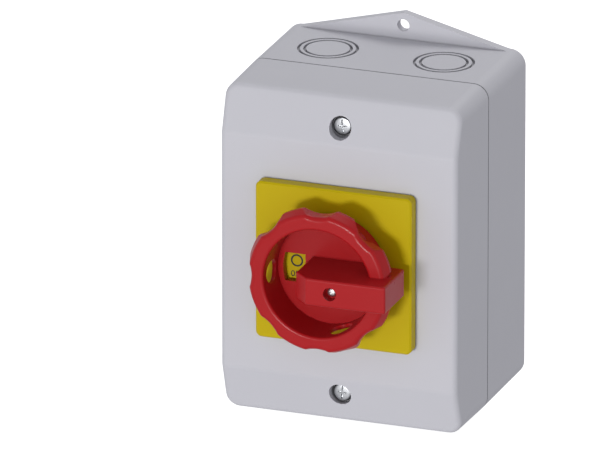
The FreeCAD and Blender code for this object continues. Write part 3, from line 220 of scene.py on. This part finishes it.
def ink():
    """Matt black print with worn, slightly uneven cover."""
    tree = Tree("print_black")
    wear = tree.noise(WEAR_CELLS, detail=4.0, roughness=0.7)
    colours = tree.tint(wear, (0.010, 0.010, 0.009), (0.030, 0.028, 0.022))
    tree.link(colours, tree.shader.inputs["Base Color"])
    tree.link(tree.spread(wear, 0.5, 0.75), tree.shader.inputs["Roughness"])
    return tree.material


MATERIALS = {
    # the grey gets painted shade from ambient occlusion in grooves, seams and wells narrower than 1.6 mm
    "enclosure_grey": moulded("enclosure_grey", (0.60, 0.595, 0.635), 0.5, mottle=0.012, shade_reach=1.6 * MM),
    "yellow_plastic": moulded("yellow_plastic", (0.57, 0.435, 0.001), 0.42, mottle=0.015, shine=0.15),
    "red_plastic": moulded("red_plastic", (0.43, 0.008, 0.011), 0.3, depth=1.5e-6, mottle=0.02, shine=0.28),
    "seal_rubber": rubber("seal_rubber", (0.012, 0.012, 0.012)),
    "zinc_steel": metal("zinc_steel", (0.60, 0.61, 0.63), 0.42),
    "spring_steel": metal("spring_steel", (0.50, 0.51, 0.53), 0.25, brushed=(1, 1, 12)),
    "brass": metal("brass", (0.80, 0.58, 0.24), 0.28),
    "copper": metal("copper", (0.84, 0.45, 0.29), 0.3),
    "silver_alloy": metal("silver_alloy", (0.86, 0.85, 0.82), 0.22),
    "switch_black": moulded("switch_black", (0.022, 0.022, 0.024), 0.5),
    "switch_grey": moulded("switch_grey", (0.10, 0.105, 0.115), 0.5),
    "drive_black": moulded("drive_black", (0.018, 0.018, 0.02), 0.45),
    "earth_green": moulded("earth_green", (0.02, 0.20, 0.05), 0.45),
    "neutral_blue": moulded("neutral_blue", (0.012, 0.06, 0.33), 0.45),
}


KEY_STEEL = metal("bright_steel", (0.74, 0.73, 0.73), 0.36)
INK = ink()


def dress_cad_nodes():
    """Give every node of the frame the material of its slot."""
    for name, node in NODES.items():
        node.data.materials.clear()
        node.data.materials.append(MATERIALS[SLOT_OF[name]])


# ---------------------------------------------------------------- new pieces
def add_piece(name, mesh, material, body):
    """Put a mesh in the scene as a piece that rides on a body."""
    mesh.materials.append(material)
    piece = bpy.data.objects.new(name, mesh)
    bpy.context.scene.collection.objects.link(piece)
    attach(piece, body)
    return piece


def face_place(right, up, height):
    """A point given as seen from the front, in millimetres, with its height above the wall."""
    return Vector((right * MM, -height * MM, up * MM))


def circle_points(centre, radii, height, steps):
    """Points round an oval that faces the front."""
    points = []
    for step in range(steps):
        angle = 2 * math.pi * step / steps
        right = centre[0] + radii[0] * math.cos(angle)
        up = centre[1] + radii[1] * math.sin(angle)
        points.append(face_place(right, up, height))
    return points


def bridge(builder, near, far):
    """Join two loops of the same number of points by a band of faces."""
    for index in range(len(near)):
        after = (index + 1) % len(near)
        builder.faces.new((near[index], near[after], far[after], far[index]))


def finished_mesh(builder, name):
    """The mesh of what has been drawn, with its faces turned outwards."""
    bmesh.ops.recalc_face_normals(builder, faces=builder.faces)
    mesh = bpy.data.meshes.new(name)
    builder.to_mesh(mesh)
    builder.free()
    return mesh


# ---------------------------------------------------------------- printed legends
PLATE_TOP = 88.0
PRINT_LIFT = 0.03
OFF_AT = (-15.5, 1.5)
ON_AT = (0.0, 15.5)
MARK_HALF_WIDE = 0.32
MARK_HALF_TALL = 2.6
MARK_RADIUS = 2.65
MARK_LINE = 0.72
WORD_DROP = 5.7
WORD_TALL = 2.5
RING_STEPS = 72

# letters are drawn on a square one unit tall
STROKE = 0.16
FAR_STEM = 0.56
OVAL_HALF = 0.36
LETTER_GAP = 0.14
BARS = {
    "F": ((0, 0, STROKE, 1), (STROKE, 1 - STROKE, 0.55, 1), (STROKE, 0.45, 0.48, 0.45 + STROKE)),
    "N": ((0, 0, STROKE, 1), (FAR_STEM, 0, FAR_STEM + STROKE, 1)),
}
LETTER_WIDTH = {"O": 0.86, "F": 0.68, "N": 0.86}
DIAGONAL = ((FAR_STEM, 0.34), (FAR_STEM, 0), (STROKE, 0.66), (STROKE, 1))


def box_corners(left, low, right, high):
    return (left, low), (right, low), (right, high), (left, high)


def flat_shape(builder, corners):
    """A thin raised print with the outline given as points on the plate."""
    low = [builder.verts.new(face_place(x, y, PLATE_TOP)) for x, y in corners]
    high = [builder.verts.new(face_place(x, y, PLATE_TOP + PRINT_LIFT)) for x, y in corners]
    builder.faces.new(high)
    builder.faces.new(low[::-1])
    bridge(builder, low, high)


def flat_ring(builder, centre, radii, line):
    """A thin raised ring; radii are across and up, to the outside of the line."""
    rims = []
    for inset, lift in ((0, 0), (0, PRINT_LIFT), (line, PRINT_LIFT), (line, 0)):
        reach = (radii[0] - inset, radii[1] - inset)
        points = circle_points(centre, reach, PLATE_TOP + lift, RING_STEPS)
        rims.append([builder.verts.new(point) for point in points])
    for near, far in zip(rims, rims[1:] + rims[:1]):
        bridge(builder, near, far)


def word(builder, text, centre):
    """A short word in plain capitals, centred on a point of the plate."""
    wide = sum(LETTER_WIDTH[letter] for letter in text) - LETTER_GAP
    left = centre[0] - WORD_TALL * wide / 2
    low = centre[1] - WORD_TALL / 2

    def drawn(corners):
        flat_shape(builder, [(left + x * WORD_TALL, low + y * WORD_TALL) for x, y in corners])

    for letter in text:
        if letter == "O":
            middle = (left + OVAL_HALF * WORD_TALL, centre[1])
            radii = (OVAL_HALF * WORD_TALL, WORD_TALL / 2)
            flat_ring(builder, middle, radii, STROKE * WORD_TALL)
        for bar in BARS.get(letter, ()):
            drawn(box_corners(*bar))
        if letter == "N":
            drawn(DIAGONAL)
        left += LETTER_WIDTH[letter] * WORD_TALL


def legend_off():
    """O with OFF under it, seen through the handle's window."""
    builder = bmesh.new()
    flat_ring(builder, OFF_AT, (MARK_RADIUS, MARK_RADIUS), MARK_LINE)
    word(builder, "OFF", (OFF_AT[0], OFF_AT[1] - WORD_DROP))
    add_piece("legend_off", finished_mesh(builder, "legend_off"), INK, "enclosure")


def legend_on():
    """I with ON under it, where the window comes to in the other position."""
    builder = bmesh.new()
    x, y = ON_AT
    left, right = x - MARK_HALF_WIDE, x + MARK_HALF_WIDE
    flat_shape(builder, box_corners(left, y - MARK_HALF_TALL, right, y + MARK_HALF_TALL))
    word(builder, "ON", (x, y - WORD_DROP))
    add_piece("legend_on", finished_mesh(builder, "legend_on"), INK, "enclosure")


# ---------------------------------------------------------------- domed screws
# heights are above the wall, and each slot is (half length, half width, depth)
COVER_SCREW = {
    "head": 3.6,
    "top": 77.1,
    "dome": 0.45,
    "seat": 75.5,
    "shank": 2.0,
    "end": 36.0,
    "slots": ((3.2, 0.30, 1.1), (2.1, 0.26, 0.9)),
}
COVER_SCREW_TURNS = (86, 94)
COVER_SCREW_PLACES = ((0, 57.4), (0, -57.4))
KEY_SCREW = {
    "head": 1.95,
    "top": 115.3,
    "dome": 0.8,
    "seat": 113.7,
    "shank": 1.5,
    "end": 91.3,
    "slots": ((1.0, 0.2, 0.55), (1.0, 0.2, 0.55)),
}
KEY_SCREW_TURN = 20
KEY_SCREW_PLACE = (9.1, 0)
THREAD_DEPTH = 0.28
THREAD_PITCH = 0.9
PLAIN_LENGTH = 2.0
POINT_LENGTH = 0.8
EDGE_WIDTH = 0.07
EDGE_ANGLE = 35
SMOOTH_ANGLE = 32
HEAD_CENTRE = 0.02
HEAD_LAND = 0.05
HEAD_CHAMFER = 0.12
DOME_SHARE = 0.99
POINT_SHARE = 0.6
SLOT_TAPER = 0.8
CUTTER_OVER = 1.0
SCREW_STEPS = 64
DOME_STEPS = 8


def turned_mesh(name, profile):
    """A solid turned about the depth axis; the profile runs from the front to the back."""
    builder = bmesh.new()
    rings = []
    for radius, height in profile:
        points = circle_points((0, 0), (radius, radius), height, SCREW_STEPS)
        rings.append([builder.verts.new(point) for point in points])
    for near, far in zip(rings, rings[1:]):
        bridge(builder, near, far)
    builder.faces.new(rings[0])
    builder.faces.new(rings[-1][::-1])
    return finished_mesh(builder, name)


def slot_mesh(name, half_long, half_wide, low, high):
    """A slot's cutter: a bar that narrows towards its bottom."""
    builder = bmesh.new()
    loops = []
    for height, shrink in ((low, SLOT_TAPER), (high, 1.0)):
        reach = half_long * shrink
        corners = box_corners(-reach, -half_wide, reach, half_wide)
        loops.append([builder.verts.new(face_place(x, y, height)) for x, y in corners])
    builder.faces.new(loops[0][::-1])
    builder.faces.new(loops[1])
    bridge(builder, *loops)
    return finished_mesh(builder, name)


def cut_away(target, cutters):
    """Cut every cutter out of the target's mesh, break its sharp edges and bake the result."""
    for cutter in cutters:
        change = target.modifiers.new("cut", "BOOLEAN")
        change.operation = "DIFFERENCE"
        change.solver = "EXACT"
        change.object = cutter
    soften = target.modifiers.new("edge", "BEVEL")
    soften.width = EDGE_WIDTH * MM
    soften.segments = 2
    soften.limit_method = "ANGLE"
    soften.angle_limit = math.radians(EDGE_ANGLE)
    bpy.context.view_layer.update()
    solved = target.evaluated_get(bpy.context.evaluated_depsgraph_get())
    result = bpy.data.meshes.new_from_object(solved)
    target.modifiers.clear()
    target.data = result
    for cutter in cutters:
        bpy.data.objects.remove(cutter)


def thread_profile(radius, top, bottom):
    """The zigzag of a thread's crests and roots, from its top to its bottom."""
    root = radius - THREAD_DEPTH
    points = []
    height = top
    while height - THREAD_PITCH > bottom:
        points += [(root, height), (radius, height - THREAD_PITCH / 2)]
        height -= THREAD_PITCH
    return points + [(root, height), (root, bottom)]


def screw_profile(screw):
    """A screw's outline from the middle of its domed head to its point."""
    head, top, dome, seat = (screw[key] for key in ("head", "top", "dome", "seat"))
    shank, end = screw["shank"], screw["end"]
    profile = [(HEAD_CENTRE, top)]
    for step in range(1, DOME_STEPS + 1):
        lean = math.radians(90 * step / DOME_STEPS)
        profile.append((head * DOME_SHARE * math.sin(lean), top - dome * (1 - math.cos(lean))))
    profile += [(head, top - dome - HEAD_LAND), (head, seat + HEAD_CHAMFER), (head - HEAD_CHAMFER, seat)]
    profile += [(shank, seat), (shank, seat - PLAIN_LENGTH)]
    profile += thread_profile(shank, seat - PLAIN_LENGTH, end + POINT_LENGTH)
    return profile + [(shank * POINT_SHARE, end)]


def domed_screw(name, screw, turn):
    """A screw on the handle's axis, with its slots turned by an angle."""
    piece = bpy.data.objects.new(name, turned_mesh(name, screw_profile(screw)))
    bpy.context.scene.collection.objects.link(piece)
    top = screw["top"]
    cutters = []
    for index, (half_long, half_wide, deep) in enumerate(screw["slots"]):
        mesh = slot_mesh(f"{name}_slot_{index}", half_long, half_wide, top - deep, top + CUTTER_OVER)
        cutter = bpy.data.objects.new(mesh.name, mesh)
        bpy.context.scene.collection.objects.link(cutter)
        cutter.rotation_euler.y = math.radians(turn + 90 * index)
        cutters.append(cutter)
    bpy.context.view_layer.update()
    cut_away(piece, cutters)
    return piece


def joined_screws(pieces, name, places):
    """One mesh of all the screws, each at its place, shaded smooth between its sharp edges."""
    builder = bmesh.new()
    for piece, (right, up) in zip(pieces, places):
        piece.data.transform(Matrix.Translation(face_place(right, up, 0)))
        builder.from_mesh(piece.data)
        bpy.data.objects.remove(piece)
    mesh = bpy.data.meshes.new(name)
    builder.to_mesh(mesh)
    builder.free()
    for face in mesh.polygons:
        face.use_smooth = True
    mesh.set_sharp_from_angle(angle=math.radians(SMOOTH_ANGLE))
    mesh.materials.clear()
    return mesh


def cover_screws():
    """The two screws in the cover's wells, with a slot and a cross."""
    screws = []
    for index, turn in enumerate(COVER_SCREW_TURNS):
        screws.append(domed_screw(f"cover_screw_{index}", COVER_SCREW, turn))
    mesh = joined_screws(screws, "cover_screws_domed", COVER_SCREW_PLACES)
    steel = MATERIALS["zinc_steel"]
    piece = add_piece("cover_screws_domed", mesh, steel, "enclosure")
    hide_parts("cover_screws")


def key_screw():
    """The small screw in the cross bar's recess."""
    screw = domed_screw("key_screw", KEY_SCREW, KEY_SCREW_TURN)
    mesh = joined_screws([screw], "key_screw_domed", [KEY_SCREW_PLACE])
    piece = add_piece("key_screw_domed", mesh, KEY_STEEL, "handle")
    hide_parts("handle_screw")


# ---------------------------------------------------------------- stage, light and camera
AZIMUTH = math.radians(20)
ELEVATION = math.radians(20)
LENS_MM = 1000.0
SENSOR_MM = 36.0
VIEW_WIDTH = 0.2439
AIM = Vector((-0.0255, -0.0570, 0.0049))


def make_camera():
    """A long lens at the photograph's angle, so that parallel edges stay parallel."""
    data = bpy.data.cameras.new("camera")
    data.lens = LENS_MM
    data.sensor_width = SENSOR_MM
    data.clip_end = 100.0
    camera = bpy.data.objects.new("camera", data)
    bpy.context.scene.collection.objects.link(camera)
    level = math.cos(ELEVATION)
    back = Vector((math.sin(AZIMUTH) * level, -math.cos(AZIMUTH) * level, math.sin(ELEVATION)))
    camera.location = AIM + back * (VIEW_WIDTH * LENS_MM / SENSOR_MM)
    camera.rotation_euler = (-back).to_track_quat("-Z", "Y").to_euler()
    bpy.context.scene.camera = camera


def area_light(name, place, size, power):
    """A round soft lamp that points at the object."""
    data = bpy.data.lights.new(name, "AREA")
    data.shape = "DISK"
    data.size = size
    data.energy = power
    light = bpy.data.objects.new(name, data)
    bpy.context.scene.collection.objects.link(light)
    light.location = place
    light.rotation_euler = (Vector(LIGHTS_AIM) - Vector(place)).to_track_quat("-Z", "Y").to_euler()


FLOOR_HALF = 12.0
KEY_LIGHT_AT = (-0.12, -2.05, -0.05)
OVERHEAD_LIGHT_AT = (0.1, 0.9, 1.3)
LIGHTS_AIM = (0, -0.08, 0)
SKY_COLOUR = (0.955, 0.962, 1.0, 1)
# the room's brightness straight down, at eye level and overhead: (height from 0 to 1, strength)
SKY_LEVELS = ((0.0, 0.46), (0.55, 0.62), (0.95, 0.38))


def make_lights():
    """A room brightest at eye level, a nearly frontal key lamp and a weaker one behind and above."""
    world = bpy.data.worlds.new("studio")
    world.use_nodes = True
    nodes = world.node_tree.nodes
    link = world.node_tree.links.new
    backdrop = nodes["Background"]
    backdrop.inputs["Color"].default_value = SKY_COLOUR
    place = nodes.new("ShaderNodeTexCoord")
    height = nodes.new("ShaderNodeSeparateXYZ")
    scale = nodes.new("ShaderNodeMapRange")
    scale.inputs["From Min"].default_value = -1.0
    fade = nodes.new("ShaderNodeValToRGB")
    stops = fade.color_ramp.elements
    stops.new(SKY_LEVELS[1][0])
    for stop, (level, strength) in zip(stops, SKY_LEVELS):
        stop.position = level
        stop.color = (strength, strength, strength, 1)
    link(place.outputs["Generated"], height.inputs["Vector"])
    link(height.outputs["Z"], scale.inputs["Value"])
    link(scale.outputs["Result"], fade.inputs["Fac"])
    link(fade.outputs["Color"], backdrop.inputs["Strength"])
    bpy.context.scene.world = world
    area_light("key", KEY_LIGHT_AT, size=0.5, power=29)
    area_light("overhead", OVERHEAD_LIGHT_AT, size=1.0, power=9)
    bpy.context.scene.view_settings.view_transform = "Standard"


def make_floor():
    """A pale, faintly glowing floor that throws no light on the object."""
    half = FLOOR_HALF
    height = cad_low.z - 2 * MM
    mesh = bpy.data.meshes.new("floor")
    corners = [(x, y, height) for x, y in box_corners(-half, -half, half, half)]
    mesh.from_pydata(corners, [], [(0, 1, 2, 3)])
    floor = bpy.data.objects.new("floor", mesh)
    bpy.context.scene.collection.objects.link(floor)
    tree = Tree("floor_pale")
    tree.shader.inputs["Base Color"].default_value = (0.55, 0.55, 0.55, 1)
    tree.shader.inputs["Roughness"].default_value = 1.0
    tree.shader.inputs["Emission Color"].default_value = (1, 1, 1, 1)
    tree.shader.inputs["Emission Strength"].default_value = 0.85
    mesh.materials.append(tree.material)
    floor.visible_diffuse = False
    floor.visible_glossy = False


dress_cad_nodes()
legend_off()
legend_on()
cover_screws()
key_screw()
make_camera()
make_lights()
make_floor()
